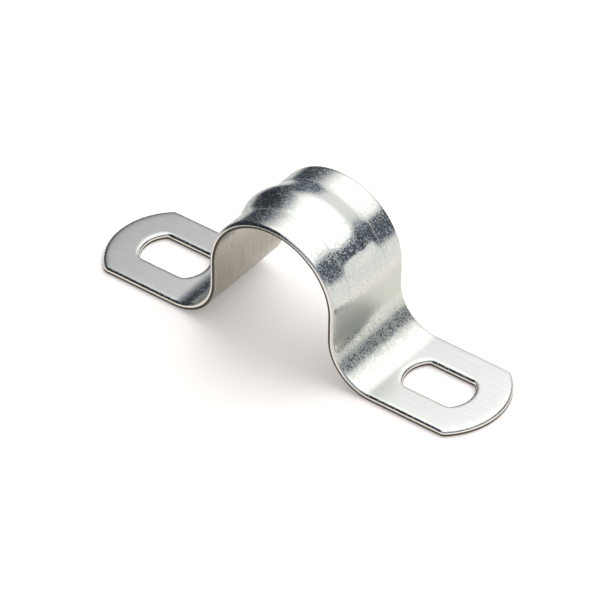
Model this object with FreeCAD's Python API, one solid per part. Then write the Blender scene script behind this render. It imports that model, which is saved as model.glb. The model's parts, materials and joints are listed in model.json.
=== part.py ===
import FreeCAD, Part

import math
import os

# Two-hole conduit strap, pressed from one piece of zinc-plated steel strip. Sizes are in mm.
# X runs along the strap and Y across it. Z points up from the surface that the feet sit on.
# The origin is on that surface, under the middle of the arch.

# The strip and its arch
SHEET = 1.0  # thickness of the strip
WIDTH = 16.7  # width of the strip
CONDUIT_RADIUS = 10.0  # inside of the arch, which bears on the conduit
AXIS_HEIGHT = 11.5  # conduit axis above the mounting surface
BEND_RADIUS = 6.5  # upper side of the bend between a foot and its leg

# The feet
FOOT_END_RADIUS = 10.9  # arc that ends each foot
FOOT_CORNER = 0.9  # radius where the arc meets a straight side
SLOT_LENGTH = 10.6  # along the strap, over the arced ends
SLOT_WIDTH = 6.6  # between the straight sides, a free fit on an M6 screw
SLOT_END_RADIUS = 4.5  # arc that ends each slot
SLOT_CORNER = 0.5  # radius where that arc meets a straight side
BEND_LAND = 0.8  # flat strip between the bend and the slot
END_LAND = 5.1  # flat strip between the slot and the end of the foot
EDGE_ROLL = 0.25  # radius that blanking leaves on the upper edges

# The stiffening rib pressed out of the arch
RIB_HEIGHT = 0.9  # rise of the ridge over the plain arch
RIB_WIDTH = 8.8  # across the strap, over both flanks
RIB_ROUND = 0.28  # share of each flank that is rounded at its side, and again at the ridge
RIB_FULL_ANGLE = 53.0  # degrees each side of the top at full height
RIB_END_ANGLE = 70.0  # degrees each side of the top where it has run out
RIB_SPANS_ROUND = 50  # spline spans from the top to each end
RIB_SPANS_ACROSS = 16  # spline spans from the middle to each side
SPARE_SPANS = 8  # spans past each end of the rib, which are trimmed off

# Sizes that follow
outer_radius = CONDUIT_RADIUS + SHEET
bend_end = outer_radius + BEND_RADIUS
slot_middle = bend_end + BEND_LAND + SLOT_LENGTH / 2
foot_end = slot_middle + SLOT_LENGTH / 2 + END_LAND
through = 2 * (AXIS_HEIGHT + 2 * outer_radius)  # height of a prism that cuts right through

# Degrees each side of the top that are past the ends of the arch
PAST_ARCH = 120.0

# Distances below this are no distance
NEAR = 1e-5


def point(x, z, y=0.0):
    """A point given by its place in the side view, with its place across the strap last."""
    return FreeCAD.Vector(x, y, z)


def radial(degrees):
    """The unit vector in the side view at an angle measured from straight up towards +X."""
    angle = math.radians(degrees)
    return point(math.sin(angle), math.cos(angle))


axis = point(0, AXIS_HEIGHT)


def arc(centre, radius, start, end):
    """An arc in the side view, from one angle to another."""
    angles = (start, (start + end) / 2, end)
    places = [centre + radial(angle) * radius for angle in angles]
    return Part.Arc(*places).toShape()


def side_view(arch_radius, bend_radius, foot_height):
    """One side of the folded strip as edges: the arch, then the leg, bend and foot on each side of it."""
    edges = [arc(axis, arch_radius, -90, 90)]
    for side in (-1, 1):
        bend = point(side * bend_end, SHEET + BEND_RADIUS)
        leg_top = point(side * arch_radius, AXIS_HEIGHT)
        leg_bottom = point(side * arch_radius, bend.z)
        foot_start = point(side * bend_end, foot_height)
        foot_tip = point(side * foot_end, foot_height)
        edges.append(Part.makeLine(leg_top, leg_bottom))
        edges.append(arc(bend, bend_radius, side * 270, side * 180))
        edges.append(Part.makeLine(foot_start, foot_tip))
    return edges


def across(shape, width):
    """A flat shape in the side view, extruded to this width about the middle of the strap."""
    shape.translate(FreeCAD.Vector(0, -width / 2, 0))
    return shape.extrude(FreeCAD.Vector(0, width, 0))


def folded_strip():
    """The strip folded to the side view with square ends, and the sheet that is its upper side alone."""
    upper = side_view(outer_radius, BEND_RADIUS, SHEET)
    lower = side_view(CONDUIT_RADIUS, BEND_RADIUS + SHEET, 0)
    ends = [
        Part.makeLine(point(side * foot_end, SHEET), point(side * foot_end, 0)) for side in (-1, 1)
    ]
    outline = Part.Wire(Part.__sortEdges__(upper + lower + ends))
    upper_line = Part.Wire(Part.__sortEdges__(upper))
    return across(Part.Face(outline), WIDTH), across(upper_line, WIDTH)


def arced_plate(middle, length, width, end_radius, corner_radius):
    """An upright prism with two straight sides along X, an outward arc at each end and rounded corners."""
    sag = end_radius - math.sqrt(end_radius**2 - (width / 2) ** 2)
    corner = length / 2 - sag
    edges = []
    for side in (1, -1):
        start = point(middle + side * corner, 0, -side * width / 2)
        end = point(middle + side * corner, 0, side * width / 2)
        next_start = point(middle - side * corner, 0, side * width / 2)
        edges.append(Part.Arc(start, point(middle + side * length / 2, 0), end).toShape())
        edges.append(Part.makeLine(end, next_start))
    plate = Part.Face(Part.Wire(edges)).extrude(point(0, through))
    plate.translate(point(0, -through / 2))
    upright = [edge for edge in plate.Edges if edge.BoundBox.ZLength > through / 2]
    return plate.makeFillet(corner_radius, upright)


def roll_edges(strap, upper_side):
    """Round every edge that blanking cut in the upper side. Only the lines of the folds run straight across."""
    rolled = []
    for edge in strap.Edges:
        middle = edge.valueAt((edge.FirstParameter + edge.LastParameter) / 2)
        is_upper = Part.Vertex(middle).distToShape(upper_side)[0] < NEAR
        is_fold = edge.BoundBox.XLength + edge.BoundBox.ZLength < 2 * NEAR
        if is_upper and not is_fold:
            rolled.append(edge)
    return strap.makeFillet(EDGE_ROLL, rolled)


def ease(share):
    """A smooth step from 0 to 1 with no slope and no curvature at either end."""
    share = min(max(share, 0.0), 1.0)
    return share**3 * (10 - 15 * share + 6 * share**2)


def flank(share):
    """Rise of a flank of the rib, from 0 at its side to 1 at the ridge.

    Its slope grows evenly over the first rounded share, holds, and falls evenly over the last.
    """
    slope = 1 / (1 - RIB_ROUND)
    if share < RIB_ROUND:
        return slope * share**2 / (2 * RIB_ROUND)
    if share > 1 - RIB_ROUND:
        return 1 - slope * (1 - share) ** 2 / (2 * RIB_ROUND)
    return slope * (share - RIB_ROUND / 2)


def spline(places, knots):
    """A cubic spline that passes through each place at its knot."""
    curve = Part.BSplineCurve()
    curve.interpolate(Points=places, Parameters=knots)
    return curve


def rib_face(radius):
    """One side of the rib as a smooth surface over the stretch of arch that the rib covers.

    Each point stands off the arch along its own radius by the height of the rib's section there,
    scaled by how far the rib has run out. So each pole is a sum too: the plain arc's pole, plus the
    section's height times the way to the pole of an arc with a rise of 1. The arcs are made longer
    than the rib and trimmed back, because a spline strays from a circle near its own ends.
    """
    reach = RIB_SPANS_ROUND + SPARE_SPANS
    angles = [RIB_END_ANGLE * step / RIB_SPANS_ROUND for step in range(-reach, reach + 1)]
    run_out = [(RIB_END_ANGLE - abs(angle)) / (RIB_END_ANGLE - RIB_FULL_ANGLE) for angle in angles]
    plain = spline([radial(angle) * radius for angle in angles], angles)
    raised = spline([radial(a) * (radius + ease(r)) for a, r in zip(angles, run_out)], angles)

    shares = [step / RIB_SPANS_ACROSS for step in range(-RIB_SPANS_ACROSS, RIB_SPANS_ACROSS + 1)]
    heights = [RIB_HEIGHT * flank(1 - abs(share)) for share in shares]
    section = spline([point(0, z, y * RIB_WIDTH / 2) for y, z in zip(shares, heights)], shares)

    poles = []
    for low, high in zip(plain.getPoles(), raised.getPoles()):
        row = [low + (high - low) * pole.z + point(0, 0, pole.y) for pole in section.getPoles()]
        poles.append([axis + place for place in row])
    surface = Part.BSplineSurface()
    surface.buildFromPolesMultsKnots(
        poles,
        plain.getMultiplicities(),
        section.getMultiplicities(),
        plain.getKnots(),
        section.getKnots(),
        False,
        False,
        plain.Degree,
        section.Degree,
    )
    surface.segment(-RIB_END_ANGLE, RIB_END_ANGLE, -1, 1)
    return surface.toShape()


def rib_slice(limit):
    """A wedge from the conduit axis, as wide as the rib, out to this many degrees each side of the top."""
    start = axis + radial(-limit) * through
    end = axis + radial(limit) * through
    outline = [Part.makeLine(axis, start), arc(axis, through, -limit, limit), Part.makeLine(end, axis)]
    return across(Part.Face(Part.Wire(outline)), RIB_WIDTH)


def is_arch(face, radius):
    """Whether a face is the side of the arch that has this radius."""
    if not isinstance(face.Surface, Part.Cylinder) or abs(face.Surface.Radius - radius) > NEAR:
        return False
    return abs(face.Surface.Center.z - AXIS_HEIGHT) < NEAR and face.CenterOfMass.z > AXIS_HEIGHT


def press_rib(strap):
    """Put the rib's surfaces into both sides of the arch, and sew the skin closed again.

    What is left of each side is a plain band along each edge, which bears on the conduit, and the two
    ends of the strip between them, past the rib.
    """
    middle_strip = rib_slice(PAST_ARCH)
    window = rib_slice(RIB_END_ANGLE)
    faces = [rib_face(outer_radius), rib_face(CONDUIT_RADIUS)]
    for face in strap.Faces:
        if is_arch(face, outer_radius) or is_arch(face, CONDUIT_RADIUS):
            faces += face.cut(middle_strip).Faces
            faces += face.common(middle_strip).cut(window).Faces
        else:
            faces.append(face)
    skin = Part.makeShell(faces)
    skin.sewShape(NEAR)
    solid = Part.Solid(skin)
    if solid.Volume < 0:
        solid.reverse()
    return solid


def conduit_strap():
    """The whole strap as one solid."""
    strap, upper_side = folded_strip()
    strap = strap.common(arced_plate(0, 2 * foot_end, WIDTH, FOOT_END_RADIUS, FOOT_CORNER))
    for side in (1, -1):
        middle = side * slot_middle
        strap = strap.cut(arced_plate(middle, SLOT_LENGTH, SLOT_WIDTH, SLOT_END_RADIUS, SLOT_CORNER))
    return press_rib(roll_edges(strap, upper_side))


os.makedirs("parts", exist_ok=True)
shape = conduit_strap()
shape.exportStep("parts/strap.step")
box = shape.optimalBoundingBox()
print(f"strap: {len(shape.Solids)} solid, {len(shape.Faces)} faces, valid {shape.isValid()}")
print(f"{box.XLength:.3f} x {box.YLength:.3f} x {box.ZLength:.3f} mm, {shape.Volume:.1f} mm3")
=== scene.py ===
# %% [markdown]
# # A two-hole conduit strap
# The strap is one strip of zinc-plated steel. A press blanks it, punches a slot in each foot, folds it
# over a former and pushes a stiffening rib out of its arch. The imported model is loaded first, because
# everything here is fitted to it.

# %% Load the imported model
import json
import math

import bmesh
import bpy
import numpy as np
from mathutils import Matrix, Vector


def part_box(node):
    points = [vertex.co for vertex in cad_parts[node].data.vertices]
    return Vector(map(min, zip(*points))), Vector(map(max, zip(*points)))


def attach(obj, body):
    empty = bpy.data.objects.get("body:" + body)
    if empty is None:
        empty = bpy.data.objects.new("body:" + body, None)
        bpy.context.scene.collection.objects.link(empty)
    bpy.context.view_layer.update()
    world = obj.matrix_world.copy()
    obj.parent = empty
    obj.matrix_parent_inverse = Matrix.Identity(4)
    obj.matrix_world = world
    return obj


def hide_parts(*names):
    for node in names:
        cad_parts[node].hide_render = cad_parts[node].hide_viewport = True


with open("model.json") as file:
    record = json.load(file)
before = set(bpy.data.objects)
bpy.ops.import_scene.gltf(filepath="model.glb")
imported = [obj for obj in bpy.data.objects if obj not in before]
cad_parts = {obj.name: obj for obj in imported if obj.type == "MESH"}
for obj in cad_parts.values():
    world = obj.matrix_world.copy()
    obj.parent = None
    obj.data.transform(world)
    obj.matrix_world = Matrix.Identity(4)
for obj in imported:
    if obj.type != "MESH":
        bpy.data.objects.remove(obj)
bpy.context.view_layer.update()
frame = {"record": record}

MM = 0.001  # metres in a millimetre

# %% [markdown]
# ## The sizes of the strap
# The record states the sizes that other parts meet: the conduit's seat and the two slots. The length and
# the rib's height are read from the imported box. The radii and the rib's outline are set by the press
# tool, and are written here. All of them are in millimetres, as the tool's own drawing has them.

# %% Sizes of the strap
mounts = {mount["name"]: mount for mount in frame["record"]["mounts"]}
seat = mounts["conduit_seat"]
slots = mounts["screw_slots"]
low_corner, high_corner = (np.array(corner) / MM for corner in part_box("strap"))

ARCH_RADIUS = seat["dims"]["r_mm"]  # inside of the arch
AXIS_HEIGHT = seat["pos_m"][2] / MM
WIDTH = seat["dims"]["length_mm"]
SHEET = slots["pos_m"][2] / MM  # thickness of the strip
SLOT_SPACING = slots["dims"]["spacing_x_mm"]
SLOT_WIDTH = 2 * slots["dims"]["hole_r_mm"]
SLOT_LENGTH = slots["dims"]["slot_length_mm"]
LENGTH = high_corner[0] - low_corner[0]
RIB_HEIGHT = high_corner[2] - AXIS_HEIGHT - ARCH_RADIUS - SHEET

BEND_RADIUS = 6.5  # upper side of the bend between a leg and its foot
FOOT_END_RADIUS = 10.9  # arc that ends each foot
SLOT_END_RADIUS = 4.5  # arc that ends each slot
FOOT_CORNER = 0.33  # depth inside the outline to which a foot's rounded corner reaches
SLOT_CORNER = 0.2  # the same for a corner of a slot
RIB_WIDTH = 8.8  # across the strap, over both flanks
RIB_ROUND = 0.28  # share of each flank that is rounded at its side, and again at the ridge
RIB_FULL_ANGLE = 53.0  # degrees each side of the top at full height
RIB_END_ANGLE = 70.0  # degrees each side of the top where the rib has run out
print(f"strap {LENGTH:.2f} x {WIDTH:.2f} mm, sheet {SHEET:.2f}, rib {RIB_HEIGHT:.2f}")

# %% [markdown]
# ## Folding the blank
# A pressed part is easiest to describe flat. Each point of the blank has a distance `s` along the strip
# from its middle, a place `y` across it and a height `n` above its underside. Folding then takes the
# flat point to its place in space: round the arch, down the leg, round the bend and out along the foot.
# The rib is added here too, because the press pushes it out of the arch as it folds the strip.

# %% Fold the blank
MIDDLE = SHEET / 2
ARCH_END = math.pi / 2 * (ARCH_RADIUS + MIDDLE)
LEG_END = ARCH_END + AXIS_HEIGHT - SHEET - BEND_RADIUS
BEND_END = LEG_END + math.pi / 2 * (BEND_RADIUS + MIDDLE)
BEND_CENTRE = ARCH_RADIUS + SHEET + BEND_RADIUS  # its distance from the middle of the strap
STRIP_END = BEND_END + LENGTH / 2 - BEND_CENTRE


def ease(share):
    """A smooth step from 0 to 1, 10 t^3 - 15 t^4 + 6 t^5, with no slope and no curvature at its ends."""
    share = np.clip(share, 0, 1)
    return share**3 * (10 - 15 * share + 6 * share**2)


def flank(share):
    """Rise of a flank, from 0 at its side to 1 at the ridge: an arc, a straight slope and an arc.

    The slope grows evenly over the first rounded share, holds, and falls evenly over the last.
    """
    share = np.clip(share, 0, 1)
    slope = 1 / (1 - RIB_ROUND)
    start = slope * share**2 / (2 * RIB_ROUND)
    end = 1 - slope * (1 - share) ** 2 / (2 * RIB_ROUND)
    straight = slope * (share - RIB_ROUND / 2)
    return np.select([share < RIB_ROUND, share > 1 - RIB_ROUND], [start, end], straight)


def rib_rise(angle, y):
    """Height of the rib over the plain arch: its section across the strip, times how far it has run out."""
    section = flank(1 - np.abs(y) / (RIB_WIDTH / 2))
    run_out = ease((RIB_END_ANGLE - np.degrees(np.abs(angle))) / (RIB_END_ANGLE - RIB_FULL_ANGLE))
    return RIB_HEIGHT * section * run_out


def fold(s, y, n):
    """Folded places, in mm, of points (s, y, n) of the blank.

    On the arch a point lies at radius R + n + rib and angle s / (R + t/2) from straight up. On the leg it
    is R + n out from the middle. Round the bend it lies at radius r + t - n from the bend's centre. On
    the foot it is at height n. The other side of the strap is the mirror image.
    """
    reach, side = np.abs(s), np.sign(s)
    angle = np.minimum(reach, ARCH_END) / (ARCH_RADIUS + MIDDLE)
    radius = ARCH_RADIUS + n + rib_rise(angle, y)
    turn = np.clip((reach - LEG_END) / (BEND_RADIUS + MIDDLE), 0, math.pi / 2)
    bend_radius = BEND_RADIUS + SHEET - n
    parts = [reach <= ARCH_END, reach <= LEG_END, reach <= BEND_END]
    x = np.select(
        parts,
        [radius * np.sin(angle), ARCH_RADIUS + n, BEND_CENTRE - bend_radius * np.cos(turn)],
        BEND_CENTRE + reach - BEND_END,
    )
    z = np.select(
        parts,
        [
            AXIS_HEIGHT + radius * np.cos(angle),
            AXIS_HEIGHT - (reach - ARCH_END),
            SHEET + BEND_RADIUS - bend_radius * np.sin(turn),
        ],
        n,
    )
    return np.stack([side * x, y + 0 * x, z], axis=-1)


print(f"blank {2 * STRIP_END:.1f} mm long from foot to foot")
print(f"each side of its middle: arch to {ARCH_END:.1f}, leg to {LEG_END:.1f}, bend to {BEND_END:.1f}")

# %% [markdown]
# ## The blanked outline
# The foot's outline is where a straight strip and a disc overlap, and the slot's is where a narrower
# strip and two discs do. So each is given as a depth: how far inside the outline a point lies. The
# depth also says how the edge is formed. A punch drags the sheet down as it enters, so the upper edge
# rolls over, and the lower edge keeps a narrow break.

# %% Outlines and rolled edges
ROUND = 0.36  # radius of the upper edge
DRAW_WIDTH = 0.8  # how far in from a straight edge the upper side starts to be drawn down
DRAW_DEPTH = 0.14  # how far it has dropped at the edge
END_DRAW_WIDTH = 1.8  # the same at the end of a foot, which is cut last
END_DRAW_DEPTH = 0.06
BREAK = 0.15  # break of the lower edge
SLOT_MIDDLE = BEND_END + SLOT_SPACING / 2 - BEND_CENTRE


def overlap(first, second, corner):
    """Depth inside two overlapping shapes: the smaller depth a or b, with the corner c rounded.

    Where either is less than c, it is c less the hypotenuse of c - a and c - b, neither below 0.
    """
    smaller = np.minimum(first, second)
    rounded = corner - np.hypot(np.maximum(corner - first, 0), np.maximum(corner - second, 0))
    return np.where(smaller > corner, smaller, rounded)


def end_depth(s, y):
    """Depth inside the disc that ends the foot: its radius less the distance from its centre.

    Further in than the centre, only the distance across the strip counts.
    """
    return FOOT_END_RADIUS - np.hypot(np.maximum(s - STRIP_END + FOOT_END_RADIUS, 0), y)


def foot_depth(s, y):
    """Depth inside the outline of the strip: between its two sides, and within the disc of its end."""
    return overlap(WIDTH / 2 - np.abs(y), end_depth(s, y), FOOT_CORNER)


def slot_depth(s, y):
    """Depth inside the slot: between its straight sides, and within the discs of both ends."""
    to_side = SLOT_WIDTH / 2 - np.abs(y)
    offset = SLOT_LENGTH / 2 - SLOT_END_RADIUS
    to_end = SLOT_END_RADIUS - np.hypot(np.abs(s - SLOT_MIDDLE) - offset, y)
    return overlap(to_side, to_end, SLOT_CORNER)


def drop(depth, width, fall):
    """Drop of the upper side where it is drawn down: a parabola that starts this wide and falls this far."""
    return fall * (1 - np.clip(depth / width, 0, 1)) ** 2


def roll(depth):
    """Drop of the upper side near a straight cut edge: the drawn-down margin, then a quarter of a circle."""
    share = 1 - np.clip(depth / ROUND, 0, 1)
    return drop(depth, DRAW_WIDTH, DRAW_DEPTH) + ROUND * (1 - np.sqrt(1 - share**2))


print(f"slots {SLOT_SPACING:.1f} mm apart, upper edges {DRAW_DEPTH + ROUND:.2f} mm down at the cut")

# %% [markdown]
# ## The skin of the strap
# The arch, legs and bends have the same section all along. So their skin is one ring of points round the
# strip, carried along `s`. A Bevel modifier could round the edges too, but it can't draw the sheet down
# beside them. The points lie close together where the edge is rolled, because that is where a
# reflection turns fastest.

# %% Ring of the strip
JOIN = BEND_END - 4.0  # distance along the strip where this skin meets the skin of a foot
ROUND_POINTS = 9  # over the rolled edge
DRAW_POINTS = 5  # over the rest of the drawn-down margin
MIDDLE_POINTS = 81  # across the strip between its margins
WALL_POINTS = 5  # down the cut wall
ARCH_POINTS = 181  # along the arch
LEG_POINTS = 5
BEND_POINTS = 17
round_steps = ROUND * (1 - np.cos(np.linspace(0, math.pi / 2, ROUND_POINTS)))
edge_steps = np.concatenate([round_steps, np.linspace(ROUND, DRAW_WIDTH, DRAW_POINTS)[1:]])
inner_y = np.linspace(-WIDTH / 2 + DRAW_WIDTH, WIDTH / 2 - DRAW_WIDTH, MIDDLE_POINTS)
upper_y = np.concatenate([edge_steps[:-1] - WIDTH / 2, inner_y, WIDTH / 2 - edge_steps[-2::-1]])
lower_y = upper_y * (1 - 2 * BREAK / WIDTH)
wall_n = np.linspace(SHEET - DRAW_DEPTH - ROUND, BREAK, WALL_POINTS)


def ring_skin():
    """Blank points of the arch, legs and bends: the strip's section, as a closed ring, for each s."""
    upper = np.stack([upper_y, SHEET - roll(WIDTH / 2 - np.abs(upper_y))], axis=-1)
    far_wall = np.stack([np.full(len(wall_n), WIDTH / 2), wall_n], axis=-1)[1:]
    lower = np.stack([lower_y[::-1], np.zeros(len(lower_y))], axis=-1)
    near_wall = np.stack([np.full(len(wall_n), -WIDTH / 2), wall_n[::-1]], axis=-1)
    ring = np.concatenate([upper, far_wall, lower, near_wall])
    arch = np.linspace(-ARCH_END, ARCH_END, ARCH_POINTS)
    leg = np.linspace(ARCH_END, LEG_END, LEG_POINTS)[1:]
    bend = np.linspace(LEG_END, JOIN, BEND_POINTS)[1:]
    s = np.concatenate([-bend[::-1], -leg[::-1], arch, leg, bend])
    points = np.empty((len(s), len(ring), 3))
    points[..., 0] = s[:, None]
    points[..., 1:] = ring[None, :, :]
    return points


ring = ring_skin()
print(f"ring of {ring.shape[1]} points, carried to {ring.shape[0]} places along the strip")

# %% [markdown]
# ## The skin of a foot
# A foot has a hole in it. A Boolean modifier could cut it, but it leaves long thin faces that spoil what
# the metal mirrors. So here the skin runs on rays from the slot's middle: each starts at the edge of the
# slot and ends at the edge of the foot. The rays that run back up the strap meet the ring's own points,
# and so the ring and both feet weld into one closed skin.

# %% Rays of a foot
END_RAYS = 281  # from one side of the join round the end of the foot to the other
UPPER_ROWS = 12  # between the two drawn-down margins
LOWER_ROWS = 6
HALVINGS = 50  # enough to find an edge to the last digit
NEAR = 1e-7  # mm, below which two places are one
NUDGE = 1e-4  # mm that a slope is measured over
LONGEST_PACE = 2.0  # most that a ray may move on for each millimetre away from the edge


def reach_of(depth, start, direction, longest):
    """How far each ray goes before the depth falls to zero, found by halving the interval that holds it."""
    low, high = np.zeros(len(direction)), np.full(len(direction), longest)
    for _ in range(HALVINGS):
        middle = (low + high) / 2
        inside = depth(*(start + direction * middle[:, None]).T) > 0
        low, high = np.where(inside, middle, low), np.where(inside, high, middle)
    return low


def pace(depth, places, rays):
    """How far along its ray a point moves to get 1 mm away from an edge: 1 over the fall of the depth."""
    slope = [
        (depth(*(places + shift).T) - depth(*(places - shift).T)) / (2 * NUDGE)
        for shift in NUDGE * np.eye(2)
    ]
    fall = -(rays[:, 0] * slope[0] + rays[:, 1] * slope[1])
    return 1 / np.maximum(fall, 1 / LONGEST_PACE)


def foot_rays(join_y):
    """Directions of the rays of a foot: through each ring point on the join, then evenly round the end."""
    join_angles = np.arctan2(join_y, JOIN - SLOT_MIDDLE)[::-1] % (2 * math.pi)
    first, last = join_angles[-1], join_angles[0] + 2 * math.pi
    round_angles = np.linspace(first, last, END_RAYS)[1:-1]
    angles = np.concatenate([join_angles, round_angles])
    return np.stack([np.cos(angles), np.sin(angles)], axis=-1)


def sheet_rows(rays, inset, edge_distances, middle_rows):
    """Blank places (s, y) of one side of a foot, along each ray from the slot's edge to the outline.

    Rows near an edge stay at set distances from it, measured square to the edge, and the rest are
    spread evenly between them. Returns the places and which rays end on the join.
    """
    start = np.array([SLOT_MIDDLE, 0.0])
    slot_reach = reach_of(lambda s, y: slot_depth(s, y) + inset, start, rays, SLOT_LENGTH)
    edge_reach = reach_of(lambda s, y: foot_depth(s, y) - inset, start, rays, WIDTH + SLOT_LENGTH)
    to_join = np.where(rays[:, 0] < 0, (JOIN - SLOT_MIDDLE) / np.minimum(rays[:, 0], -NEAR), np.inf)
    on_join = to_join <= edge_reach + NEAR
    outer_reach = np.minimum(edge_reach, to_join)
    slot_pace = pace(slot_depth, start + rays * slot_reach[:, None], rays)
    edge_pace = np.where(on_join, 1.0, pace(foot_depth, start + rays * edge_reach[:, None], rays))
    near_slot = slot_reach + slot_pace * edge_distances[:, None]
    near_edge = outer_reach - edge_pace * edge_distances[::-1, None]
    share = np.linspace(0, 1, middle_rows + 2)[1:-1, None]
    between = near_slot[-1] * (1 - share) + near_edge[0] * share
    reach = np.concatenate([near_slot, between, near_edge])
    return start + rays * reach[..., None], on_join


def foot_skin():
    """Blank points of a foot's upper side and underside, in rows round the slot, and which rays end on
    the join."""
    upper, on_join = sheet_rows(foot_rays(upper_y), 0.0, edge_steps, UPPER_ROWS)
    lower, _ = sheet_rows(foot_rays(lower_y), BREAK, edge_steps[[0, -1]], LOWER_ROWS)
    s, y = upper[..., 0], upper[..., 1]
    height = SHEET - roll(foot_depth(s, y)) - roll(-slot_depth(s, y))
    height -= drop(end_depth(s, y), END_DRAW_WIDTH, END_DRAW_DEPTH)
    upper = np.concatenate([upper, height[..., None]], axis=-1)
    lower = np.concatenate([lower, np.zeros(lower.shape[:2] + (1,))], axis=-1)
    return upper, lower, on_join


def wall(top_row, bottom_row):
    """A wall straight down from the edge of the upper side, and then in over the break below it."""
    share = ((wall_n - BREAK) / (wall_n[0] - BREAK))[:, None]
    rows = np.repeat(top_row[None], len(wall_n), axis=0)
    rows[:, :, 2] = BREAK + share * (top_row[:, 2] - BREAK)
    return np.concatenate([rows, bottom_row[None]])


upper, lower, on_join = foot_skin()
print(f"foot of {upper.shape[1]} rays, {on_join.sum()} of them to the join, in {upper.shape[0]} rows")

# %% [markdown]
# ## One closed mesh
# The ring and the two feet are folded with the same formula, so they meet exactly. Their shared points
# are then welded. A closed mesh has no open edge, so the last line of this cell counts them.

# %% Weld the skin
WELD_DISTANCE = 1e-7  # m
SHARP_ANGLE = 40  # degrees between faces, past which an edge is sharp


def grid_faces(rows, columns):
    """Corner numbers of the quads of a grid whose points are numbered row by row."""
    corner = np.arange(rows * columns).reshape(rows, columns)
    quads = [corner[:-1, :-1], corner[:-1, 1:], corner[1:, 1:], corner[1:, :-1]]
    return np.stack(quads, axis=-1).reshape(-1, 4)


def closed(points):
    """A grid with its first column repeated at its end, so that it closes on itself."""
    return np.concatenate([points, points[:, :1]], axis=1)


def strap_grids():
    """Grids of blank points, each with the columns of quads that it keeps. The outer wall of a foot has
    none along the join."""
    closed_join = np.append(on_join, on_join[0])
    off_join = ~(closed_join[:-1] & closed_join[1:])
    outer_wall = wall(upper[-1], lower[-1])
    slot_wall = wall(upper[0], lower[0])
    grids = [(closed(ring), slice(None))]
    for side in (1, -1):
        for points in (upper, lower, slot_wall):
            grids.append((closed(points) * [side, 1, 1], slice(None)))
        grids.append((closed(outer_wall) * [side, 1, 1], off_join))
    return grids


def strap_mesh():
    """The whole skin: its folded points in metres, their places on the blank, and its quads."""
    vertices, blanks, faces, count = [], [], [], 0
    for points, kept in strap_grids():
        rows, columns = points.shape[:2]
        quads = grid_faces(rows, columns).reshape(rows - 1, columns - 1, 4)[:, kept]
        faces.append(quads.reshape(-1, 4) + count)
        flat = points.reshape(-1, 3)
        blanks.append(flat)
        vertices.append(fold(*flat.T) * MM)
        count += rows * columns
    return np.concatenate(vertices), np.concatenate(blanks), np.concatenate(faces)


def mesh_object(name, vertices, faces):
    """A mesh object at the origin, from an array of points and an array of quads."""
    mesh = bpy.data.meshes.new(name)
    mesh.from_pydata(vertices.tolist(), [], faces.tolist())
    piece = bpy.data.objects.new(name, mesh)
    bpy.context.scene.collection.objects.link(piece)
    return piece


vertices, blanks, faces = strap_mesh()
strap = mesh_object("strap_skin", vertices, faces)
strap.data.attributes.new("blank", "FLOAT_VECTOR", "POINT").data.foreach_set("vector", blanks.ravel())
welder = bmesh.new()
welder.from_mesh(strap.data)
bmesh.ops.remove_doubles(welder, verts=welder.verts, dist=WELD_DISTANCE)
bmesh.ops.recalc_face_normals(welder, faces=welder.faces)
open_edges = sum(not edge.is_manifold for edge in welder.edges)
welder.to_mesh(strap.data)
welder.free()
strap.data.polygons.foreach_set("use_smooth", np.ones(len(strap.data.polygons), bool))
strap.data.set_sharp_from_angle(angle=math.radians(SHARP_ANGLE))
strap.data.update()
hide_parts("strap")
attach(strap, "root")
print(f"skin: {len(strap.data.polygons)} quads, {open_edges} open edges")

# %% [markdown]
# ## The camera
# A small part is pictured from far off with a long lens, so that its near foot isn't drawn much larger
# than its far one. The camera stands in front of the strap, round to its right, and looks down on it with
# a slight roll.
# Directions are given as on a compass: an azimuth from straight behind the strap round to its right, and
# an elevation above the horizon. One function places the camera here and the lamp further on.

# %% Camera
AIM = np.array([-0.99, 0, 3.86])  # mm, the point that the camera looks at
CAMERA_AZIMUTH = 143.62  # degrees
CAMERA_ELEVATION = 39.27  # degrees
CAMERA_ROLL = 0.7  # degrees
CAMERA_DISTANCE = 745.3  # mm
LENS = 312.9  # mm
SENSOR = 36.0  # mm, the sensor's width
NEAREST_SEEN = 0.01  # m, nearer than which nothing is drawn


def way(azimuth, elevation):
    """Unit vectors of directions in degrees: (cos e sin a, cos e cos a, sin e)."""
    turn, rise = np.radians(azimuth), np.radians(elevation)
    return np.stack([np.cos(rise) * np.sin(turn), np.cos(rise) * np.cos(turn), np.sin(rise)], axis=-1)


def place(name, data, azimuth, elevation, distance, aim=(0, 0, 0), roll=0.0):
    """Put a camera or lamp in the scene, this many metres off in a direction, looking at a point.

    Its z axis points back along the direction. Its x axis is level and its y axis square to both, and
    then both are turned about z by the roll.
    """
    back = way(azimuth, elevation)
    level = np.cross([0, 0, 1], back) / np.cos(np.radians(elevation))
    above = np.cross(back, level)
    sine, cosine = np.sin(np.radians(roll)), np.cos(np.radians(roll))
    axes = [cosine * level + sine * above, cosine * above - sine * level, back]
    columns = np.column_stack([*axes, aim + distance * back])
    piece = bpy.data.objects.new(name, data)
    bpy.context.scene.collection.objects.link(piece)
    piece.matrix_world = Matrix([*columns.tolist(), [0, 0, 0, 1]])
    return piece


lens = bpy.data.cameras.new("camera")
lens.sensor_width = SENSOR
lens.lens = LENS
lens.clip_start = NEAREST_SEEN
camera = place(
    "camera", lens, CAMERA_AZIMUTH, CAMERA_ELEVATION, CAMERA_DISTANCE * MM, AIM * MM, CAMERA_ROLL
)
bpy.context.scene.camera = camera
print("camera at, m:", [round(value, 3) for value in camera.matrix_world.translation])

# %% [markdown]
# ## Helpers for colours and nodes
# Colours are written as the hex codes that a painter would pick on a screen. Blender works with linear
# light, so one function turns them. Another adds a node with its settings and its links in one line.

# %% Studio helpers
bpy.context.scene.view_settings.view_transform = "Standard"


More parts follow.
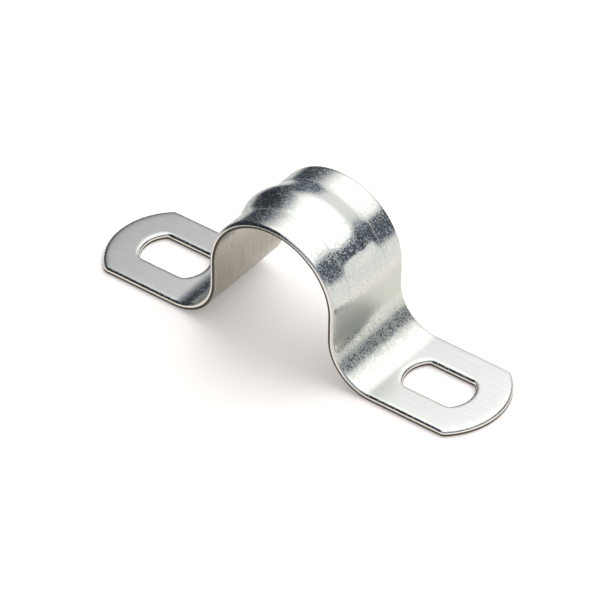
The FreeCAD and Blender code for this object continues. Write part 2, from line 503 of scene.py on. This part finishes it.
def linear(code):
    """An sRGB hex colour as linear red, green and blue, with an alpha of 1."""
    parts = np.array([int(code[at : at + 2], 16) / 255 for at in (1, 3, 5)])
    return (*np.where(parts <= 0.04045, parts / 12.92, ((parts + 0.055) / 1.055) ** 2.4), 1.0)


def add(tree, kind, settings=None, links=None):
    """Add a node. `settings` sets its properties or input values, and `links` joins inputs to outputs."""
    node = tree.nodes.new(kind)
    for name, value in (settings or {}).items():
        if isinstance(name, str) and hasattr(node, name):
            setattr(node, name, value)
        else:
            node.inputs[name].default_value = value
    for name, output in (links or {}).items():
        tree.links.new(output, node.inputs[name])
    return node


def material_for(piece, name):
    """Give a piece an empty material, and return the material's tree."""
    material = bpy.data.materials.new(name)
    material.use_nodes = True
    material.node_tree.nodes.clear()
    piece.data.materials.append(material)
    return material.node_tree


def shows_background(tree):
    """1 for the rays that show a background, seen by the camera, in metal or through glass, else 0."""
    path = add(tree, "ShaderNodeLightPath").outputs
    larger = {"operation": "MAXIMUM"}
    seen = add(tree, "ShaderNodeMath", larger, {0: path["Is Camera Ray"], 1: path["Is Glossy Ray"]})
    seen = add(tree, "ShaderNodeMath", larger, {0: seen.outputs[0], 1: path["Is Transmission Ray"]})
    return seen.outputs[0]


print("white paper is", [round(float(value), 2) for value in linear("#F6F6F6")[:3]], "in linear light")

# %% [markdown]
# ## The room and the floor
# The strap lies on matt white paper, which takes its shadow. The room is white where it is seen. Where it
# only lights things it gives a soft, slightly warm fill, which is what shows in the shadow. A small share
# of the white background is mixed into the paper where it is seen, so the shadow stays pale without
# brighter lamps.

# %% Room and floor
FILL = 0.7  # strength of the room where it only lights things
BACKGROUND_SHARE = 0.15  # how much of the paper's look is the white background
FLOOR_SIZE = 4.0  # m
FLOOR_GAP = 0.00002  # m, so that the floor and the undersides of the feet don't fight

world = bpy.data.worlds.new("room")
bpy.context.scene.world = world
world.use_nodes = True
tree = world.node_tree
tree.nodes.clear()
fill = add(tree, "ShaderNodeBackground", {"Color": linear("#FFF5F1"), "Strength": FILL})
white = add(tree, "ShaderNodeBackground", {"Color": linear("#FFFFFF"), "Strength": 1.0})
by_ray = {0: shows_background(tree), 1: fill.outputs[0], 2: white.outputs[0]}
room = add(tree, "ShaderNodeMixShader", None, by_ray)
add(tree, "ShaderNodeOutputWorld", None, {"Surface": room.outputs[0]})

across = np.linspace(-FLOOR_SIZE / 2, FLOOR_SIZE / 2, 3)
floor_points = np.stack([*np.meshgrid(across, across), np.full((3, 3), -FLOOR_GAP)], axis=-1)
floor = mesh_object("floor", floor_points.reshape(-1, 3), grid_faces(3, 3))
tree = material_for(floor, "matt_white_paper")
paper = add(tree, "ShaderNodeBsdfDiffuse", {"Color": linear("#F6F6F6")})
white = add(tree, "ShaderNodeEmission", {"Color": linear("#FFFFFF"), "Strength": 1.0})
share = add(
    tree, "ShaderNodeMath", {"operation": "MULTIPLY", 1: BACKGROUND_SHARE}, {0: shows_background(tree)}
)
by_share = {0: share.outputs[0], 1: paper.outputs[0], 2: white.outputs[0]}
shown = add(tree, "ShaderNodeMixShader", None, by_share)
add(tree, "ShaderNodeOutputMaterial", None, {"Surface": shown.outputs[0]})
print(f"floor {FLOOR_SIZE:.0f} m square, fill {FILL:.2f}")

# %% [markdown]
# ## The tent
# Bright metal looks like whatever stands round it, so in a studio it gets a tent of white cloth. A dark
# band round the tent's walls draws the edges and folds of the metal. The tent is a half sphere with a
# skirt that spreads over the paper. Each of its points has its brightness worked out from its direction,
# and metal alone sees it. Near the strap the metal sees the paper itself, with the shadow in it.
#
# The band is a row of dark panels of different heights, which could each be a mesh. Their soft edges are
# easier to state in one table: the band's edges and its light are given at stops round the tent, and run
# evenly from each stop to the next.

# %% Tent
TENT_RADIUS = 0.3  # m
EYE_HEIGHT = 0.018  # m, the middle of the tent, level with the strap's shoulders
SKIRT_HEIGHT = 0.001  # m, where the tent's skirt lies over the paper
SKIRT_ANGLE = 24  # degrees down to the inner edge of the skirt
TENT_LIGHT = 1.18  # strength of cloth with a light of 1
TOP_LIGHT = 1.7  # light of the cloth overhead
TOP_BLUR = 34  # degrees over which the walls' light grows to that
LOWER_BLUR = 5  # degrees each side of the band's lower edge
BAND_TINT = np.array([-0.2, -0.05, 0.25])  # share by which the band shifts red, green and blue
BAND_STOPS = np.array([
    # azimuth, upper edge, half its blur, lower edge, all in degrees, and the band's light
    # in front, where a black panel on the left draws the near edges
    (-180, 50, 16, 0, 0.4),
    (-155, 66, 10, -20, 0.03),
    (-115, 70, 10, -16, 0.03),
    # on the left, a high black panel that darkens the left of the arch
    (-90, 58, 24, -8, 0.05),
    (-67, 50, 30, -8, 0.04),
    (-52, 31, 18, -8, 0.06),
    (-40, 30, 14, -11, 0.1),
    # behind, a low and pale stretch
    (-27, 20, 8, -12, 0.2),
    (-15, 6, 8, -12, 0.45),
    (0, 8, 6, -8, 0.5),
    # on the right, a black panel that draws the belt down the right of the arch
    (22, 19, 5, -6, 0.1),
    (37, 28, 6, -6, 0.08),
    (52, 34, 7, -1, 0.14),
    (67, 38, 5, 13, 0.15),
    (85, 38, 5, 14, 0.1),
    (100, 38, 5, 10, 0.2),
    (130, 44, 12, 0, 0.4),
    (180, 50, 16, 0, 0.4),
])
CLOTH_STOPS = np.array([
    # azimuth, elevation where the cloth starts to brighten, and the walls' light below it
    (-60, 32, 0.7),
    (-45, 31, 0.8),
    (-31, 24, 0.93),
    (-20, 18, 1.0),
])


def between_stops(azimuth, stops):
    """Each column of a table of stops, run evenly between the azimuths in its first column."""
    return [np.interp(azimuth, stops[:, 0], column) for column in stops.T[1:]]


def tent_light(azimuth, elevation):
    """Brightness of the tent in each direction, in degrees, and how much of it is the dark band.

    The cloth's light is the walls' light, plus the rest of the way to TOP_LIGHT by a smooth step over
    TOP_BLUR. The band is the product of two smooth steps, down at its upper edge and up at its lower
    one. The light is cloth x (1 - band) + band's light x band.
    """
    upper, blur, lower, band_light = between_stops(azimuth, BAND_STOPS)
    start, wall_light = between_stops(azimuth, CLOTH_STOPS)
    under_top = 1 - ease((elevation - upper + blur) / (2 * blur))
    over_foot = ease((elevation - lower + LOWER_BLUR) / (2 * LOWER_BLUR))
    band = under_top * over_foot
    cloth_light = wall_light + (TOP_LIGHT - wall_light) * ease((elevation - start) / TOP_BLUR)
    return TENT_LIGHT * (cloth_light * (1 - band) + band_light * band), band


around, height = np.meshgrid(np.arange(-180.0, 181, 2), np.arange(-SKIRT_ANGLE, 91.0), indexing="ij")
to_skirt = (EYE_HEIGHT - SKIRT_HEIGHT) / np.maximum(-np.sin(np.radians(height)), NEAR)
tent_points = way(around, height) * np.minimum(TENT_RADIUS, to_skirt)[..., None] + [0, 0, EYE_HEIGHT]
tent = mesh_object("tent", tent_points.reshape(-1, 3), grid_faces(*around.shape))
tent.visible_camera = tent.visible_diffuse = tent.visible_shadow = tent.visible_transmission = False
light, band = tent_light(around, height)
colours = light[..., None] * (1 + BAND_TINT * band[..., None] ** 2)
shades = np.concatenate([colours, np.ones(light.shape + (1,))], axis=-1)
tent.data.attributes.new("shade", "FLOAT_COLOR", "POINT").data.foreach_set("color", shades.ravel())
tree = material_for(tent, "tent_cloth")
shade = add(tree, "ShaderNodeAttribute", {"attribute_name": "shade"})
cloth = add(tree, "ShaderNodeEmission", None, {"Color": shade.outputs["Color"]})
add(tree, "ShaderNodeOutputMaterial", None, {"Surface": cloth.outputs[0]})
print(f"tent light from {light.min():.2f} to {light.max():.2f}")

# %% [markdown]
# ## The lamp
# One large soft lamp stands behind the strap. It throws a wide pale shadow towards the front, which is
# darkest where the feet touch the paper and blurs away from them. The lamp is a little warm, as the fill
# is. The tent stands for it where the metal would mirror it.

# %% Lamp
LAMP_AZIMUTH = 12  # degrees
LAMP_ELEVATION = 45  # degrees
LAMP_DISTANCE = 0.6  # m
LAMP_SIZE = 1.2  # m
LAMP_POWER = 8.7  # W
lamp = bpy.data.lights.new("soft_lamp", "AREA")
lamp.size = LAMP_SIZE
lamp.energy = LAMP_POWER
lamp.color = linear("#FEFBF9")[:3]
soft_lamp = place("soft_lamp", lamp, LAMP_AZIMUTH, LAMP_ELEVATION, LAMP_DISTANCE)
soft_lamp.visible_glossy = False
print("lamp at, m:", [round(value, 2) for value in soft_lamp.matrix_world.translation])

# %% [markdown]
# ## Zinc-plated steel
# The strip is cold-rolled steel with a thin bright coat of zinc. The coat looks different where the press
# has worked it. The feet and legs keep the satin of the mill. The arch and the rolled edges are rubbed
# smooth. The bends are drawn over the tool's nose, which works them most. The underside is painted darker,
# as painted shade, and the blanked walls have their own look. Separate materials would meet in hard lines,
# and these finishes fade into each other. So each point of the skin gets marks that say how much of each
# it is, worked out from its place on the flat blank.

# %% Finish of each point
CUT_BLUR = 0.1  # mm, over which the look of a cut wall gives way to the upper side
ROLL_BLUR = 0.15  # mm, over which a rolled edge's polish ends
FADE = 3.0  # mm along the strip, over which one finish gives way to the next
ARCH_FADE = ARCH_END - 2.0  # where the arch's finish starts to give way to the leg's
LEG_FADE = LEG_END + 0.2  # where the leg's gives way to the bend's
BEND_FADE = BEND_END - 5.0  # where the bend's gives way to the foot's
BEND_FADE_WIDTH = 5.0
RUBBED = 0.5  # how worked the arch and the rolled edges are, where a bend is 1


def finish(blank):
    """Marks of each point from 0 to 1, as an array of cut, worked and inner, and one of leg.

    Cut is 1 at the outline. Worked is RUBBED on the arch and rolled edges and 1 in the bends. Inner is 0
    on the upper side and 1 on the underside. Leg is 1 between the arch and the bend. Each gives way to
    the next by the same smooth step.
    """
    reach, y, n = np.abs(blank[:, 0]), blank[:, 1], blank[:, 2]
    depth = np.minimum(foot_depth(reach, y), -slot_depth(reach, y))
    cut = np.clip(1 - depth / CUT_BLUR, 0, 1)
    rolled = 1 - ease((depth - ROUND) / ROLL_BLUR)
    past_arch = ease((reach - ARCH_FADE) / FADE)
    past_leg = ease((reach - LEG_FADE) / FADE)
    bend = past_leg * (1 - ease((reach - BEND_FADE) / BEND_FADE_WIDTH))
    worked = np.maximum(RUBBED * (1 - past_arch) + bend, RUBBED * rolled)
    inner = 1 - np.clip(n / SHEET, 0, 1)
    return np.stack([cut, worked, inner], axis=-1), past_arch * (1 - past_leg)


blank = np.empty(len(strap.data.vertices) * 3)
strap.data.attributes["blank"].data.foreach_get("vector", blank)
marks, leg_marks = finish(blank.reshape(-1, 3))
strap.data.attributes.new("finish", "FLOAT_VECTOR", "POINT").data.foreach_set("vector", marks.ravel())
strap.data.attributes.new("leg", "FLOAT", "POINT").data.foreach_set("value", leg_marks)
print("mean cut, worked and inner:", marks.mean(axis=0).round(2), "leg:", leg_marks.mean().round(2))

# %% [markdown]
# ## Lines, grain and clouds
# Rolling leaves fine lines along the strip. The zinc has a grain like orange peel, a third of a
# millimetre across, which breaks up the edges of what it mirrors, and it is a little uneven over several
# millimetres. All of these follow the flat blank, so that they bend with the strip. Their heights are a
# few hundredths of a millimetre, so they are bump and not mesh.

# %% Relief of the zinc
LINES = 5.0  # rolling lines in a millimetre, drawn coarser than the real ones so that they show
LINE_BREAKS = 0.12  # changes along a line in a millimetre
GRAIN = 3.0  # grains in a millimetre
CLOUDS = 0.3  # uneven patches in a millimetre
LINE_HEIGHT = 0.008  # mm
GRAIN_HEIGHT = 0.01  # mm
WORKED_GRAIN_HEIGHT = 0.014  # mm, because bending coarsens the grain
CLOUD_HEIGHT = 0.02  # mm

tree = material_for(strap, "zinc_plated_steel")
on_blank = add(tree, "ShaderNodeAttribute", {"attribute_name": "blank"}).outputs["Vector"]
finish_marks = add(tree, "ShaderNodeAttribute", {"attribute_name": "finish"}).outputs["Vector"]
cut, worked, inner = add(tree, "ShaderNodeSeparateXYZ", None, {0: finish_marks}).outputs
leg = add(tree, "ShaderNodeAttribute", {"attribute_name": "leg"}).outputs["Fac"]

along = add(tree, "ShaderNodeMapping", {"Scale": (LINE_BREAKS, LINES, LINES)}, {"Vector": on_blank})
line_look = {"Scale": 1.0, "Detail": 3.0, "Roughness": 0.6}
lines = add(tree, "ShaderNodeTexNoise", line_look, {"Vector": along.outputs[0]}).outputs[0]
grain_look = {"Scale": GRAIN, "Detail": 2.0, "Roughness": 0.7}
grain = add(tree, "ShaderNodeTexNoise", grain_look, {"Vector": on_blank}).outputs[0]
clouds = add(tree, "ShaderNodeTexNoise", {"Scale": CLOUDS, "Detail": 2.0}, {"Vector": on_blank}).outputs[0]

coarseness = {"To Min": GRAIN_HEIGHT, "To Max": WORKED_GRAIN_HEIGHT}
grain_height = add(tree, "ShaderNodeMapRange", coarseness, {"Value": worked})
relief = add(tree, "ShaderNodeMath", {"operation": "MULTIPLY"}, {0: grain, 1: grain_height.outputs[0]})
for height_of_one, pattern in ((LINE_HEIGHT, lines), (CLOUD_HEIGHT, clouds)):
    times = {"operation": "MULTIPLY_ADD", 1: height_of_one}
    relief = add(tree, "ShaderNodeMath", times, {0: pattern, 2: relief.outputs[0]})
bump = add(tree, "ShaderNodeBump", {"Strength": 1.0, "Distance": MM}, {"Height": relief.outputs[0]})
print(f"relief up to {WORKED_GRAIN_HEIGHT + LINE_HEIGHT + CLOUD_HEIGHT:.3f} mm")

# %% [markdown]
# ## Colours of the metal
# Zinc is a pale grey metal. It has a trace of green where it is worked, and its lines vary in brightness.
# The legs are painted a little darker and greener, as painted shade and a painted reflection of the dim
# paper that they mirror. The underside is painted darker and warmer, as painted shade for the inside of
# the arch and legs, which mirror the shaded paper under the arch. A blanked wall has two zones: the punch
# burnishes the upper half to a bright band, and the lower half tears away rough. Its deep brown is partly
# its own tone and partly painted shade, for the shade at the foot of a wall and inside the slots.

# %% Colours
TEAR = 0.5  # share of the sheet, down from the top, where the wall starts to be torn
TEAR_BLUR = 0.1

mixed = {"data_type": "RGBA"}
tinted = {"data_type": "RGBA", "blend_type": "MULTIPLY"}
bright_look = mixed | {6: linear("#BABBB8"), 7: linear("#D9DAD7")}
bright = add(tree, "ShaderNodeMix", bright_look, {0: lines}).outputs[2]
bright = add(tree, "ShaderNodeMix", tinted | {7: linear("#FCFEF8")}, {0: worked, 6: bright}).outputs[2]
# painted shade and painted reflection: the legs are tinted darker and greener, for the dim, shaded paper
# that they mirror
bright = add(tree, "ShaderNodeMix", tinted | {7: linear("#F4F7F0")}, {0: leg, 6: bright}).outputs[2]
# painted shade: the underside is coloured darker and warmer than the upper side, for the shade inside the
# arch and legs
painted_shade_underside_look = mixed | {6: linear("#807A6E"), 7: linear("#BFBBAF")}
painted_shade_underside = add(tree, "ShaderNodeMix", painted_shade_underside_look, {0: lines}).outputs[2]
skin = add(tree, "ShaderNodeMix", mixed, {0: inner, 6: bright, 7: painted_shade_underside}).outputs[2]

tear = {"From Min": TEAR, "From Max": TEAR + TEAR_BLUR}
torn = add(tree, "ShaderNodeMapRange", tear, {"Value": inner}).outputs[0]
# partly painted shade: the torn zone's deep brown is partly its own tone and partly the shade at the foot of
# a wall and inside the slots
wall_look = mixed | {6: linear("#E6E3DB"), 7: linear("#4A453D")}
cut_wall = add(tree, "ShaderNodeMix", wall_look, {0: torn}).outputs[2]
colour = add(tree, "ShaderNodeMix", mixed, {0: cut, 6: skin, 7: cut_wall}).outputs[2]
print(f"cut walls burnished down to {TEAR * SHEET:.1f} mm and torn below")

# %% [markdown]
# ## Polish and frost
# Roughness says how sharply metal mirrors. The satin of the mill blurs what it mirrors, and a worked
# surface shows it sharply. Fine frosty specks stay rough all over, and there are more of them where the
# metal is worked. They glitter pale in the dark belts of the arch. The tool rubs a thin line along the
# strip at each side of the rib, and on through the bends, which is frosty too.

# %% Polish and the finished metal
# roughness of each kind of surface
SATIN = 0.3
POLISHED = 0.1
FROSTED = 0.42
BURNISHED = 0.2
TORN = 0.5
LEG_DULLING = 0.08  # what a leg adds to the satin
POLISHED_FROM = 0.5  # how worked the metal is where it is fully polished

SPECKS = 4.5  # frosty specks in a millimetre
PLAIN_SPECKS = 0.62  # level of the specks' pattern above which plain metal is frosty
WORKED_SPECKS = 0.4  # the same for worked metal, which has more of them
SPECK_BLUR = 0.1
TOOL_LINE = RIB_WIDTH / 2 - 0.1  # mm from the middle of the strip
TOOL_LINE_HALF = 0.1  # mm, half the width of a rubbed line

polish = {"From Max": POLISHED_FROM, "To Min": SATIN, "To Max": POLISHED}
plain = add(tree, "ShaderNodeMapRange", polish, {"Value": worked}).outputs[0]
dulling = {"operation": "MULTIPLY_ADD", 1: LEG_DULLING}
plain = add(tree, "ShaderNodeMath", dulling, {0: leg, 2: plain}).outputs[0]

speck_look = {"Scale": SPECKS, "Detail": 1.0, "Roughness": 0.6}
specks = add(tree, "ShaderNodeTexNoise", speck_look, {"Vector": on_blank}).outputs[0]
y_on_blank = add(tree, "ShaderNodeSeparateXYZ", None, {0: on_blank}).outputs[1]
off_middle = add(tree, "ShaderNodeMath", {"operation": "ABSOLUTE"}, {0: y_on_blank}).outputs[0]
near_line = {"operation": "COMPARE", 1: TOOL_LINE, 2: TOOL_LINE_HALF}
tool_line = add(tree, "ShaderNodeMath", near_line, {0: off_middle}).outputs[0]
marked = {"operation": "MULTIPLY_ADD"}
specks = add(tree, "ShaderNodeMath", marked, {0: tool_line, 1: worked, 2: specks}).outputs[0]

frost_level = {"To Min": PLAIN_SPECKS, "To Max": WORKED_SPECKS}
start = add(tree, "ShaderNodeMapRange", frost_level, {"Value": worked}).outputs[0]
stop = add(tree, "ShaderNodeMath", {"operation": "ADD", 1: SPECK_BLUR}, {0: start}).outputs[0]
frosting = {"Value": specks, "From Min": start, "From Max": stop, "To Min": plain}
frosted = add(tree, "ShaderNodeMapRange", {"To Max": FROSTED}, frosting).outputs[0]
wall_rough = add(tree, "ShaderNodeMapRange", {"To Min": BURNISHED, "To Max": TORN}, {"Value": torn})
rough = add(tree, "ShaderNodeMix", None, {0: cut, 2: frosted, 3: wall_rough.outputs[0]}).outputs[0]

sockets = {"Base Color": colour, "Roughness": rough, "Normal": bump.outputs[0]}
metal = add(tree, "ShaderNodeBsdfPrincipled", {"Metallic": 1.0}, sockets)
add(tree, "ShaderNodeOutputMaterial", None, {"Surface": metal.outputs[0]})
print(f"zinc-plated steel of {len(tree.nodes)} nodes")
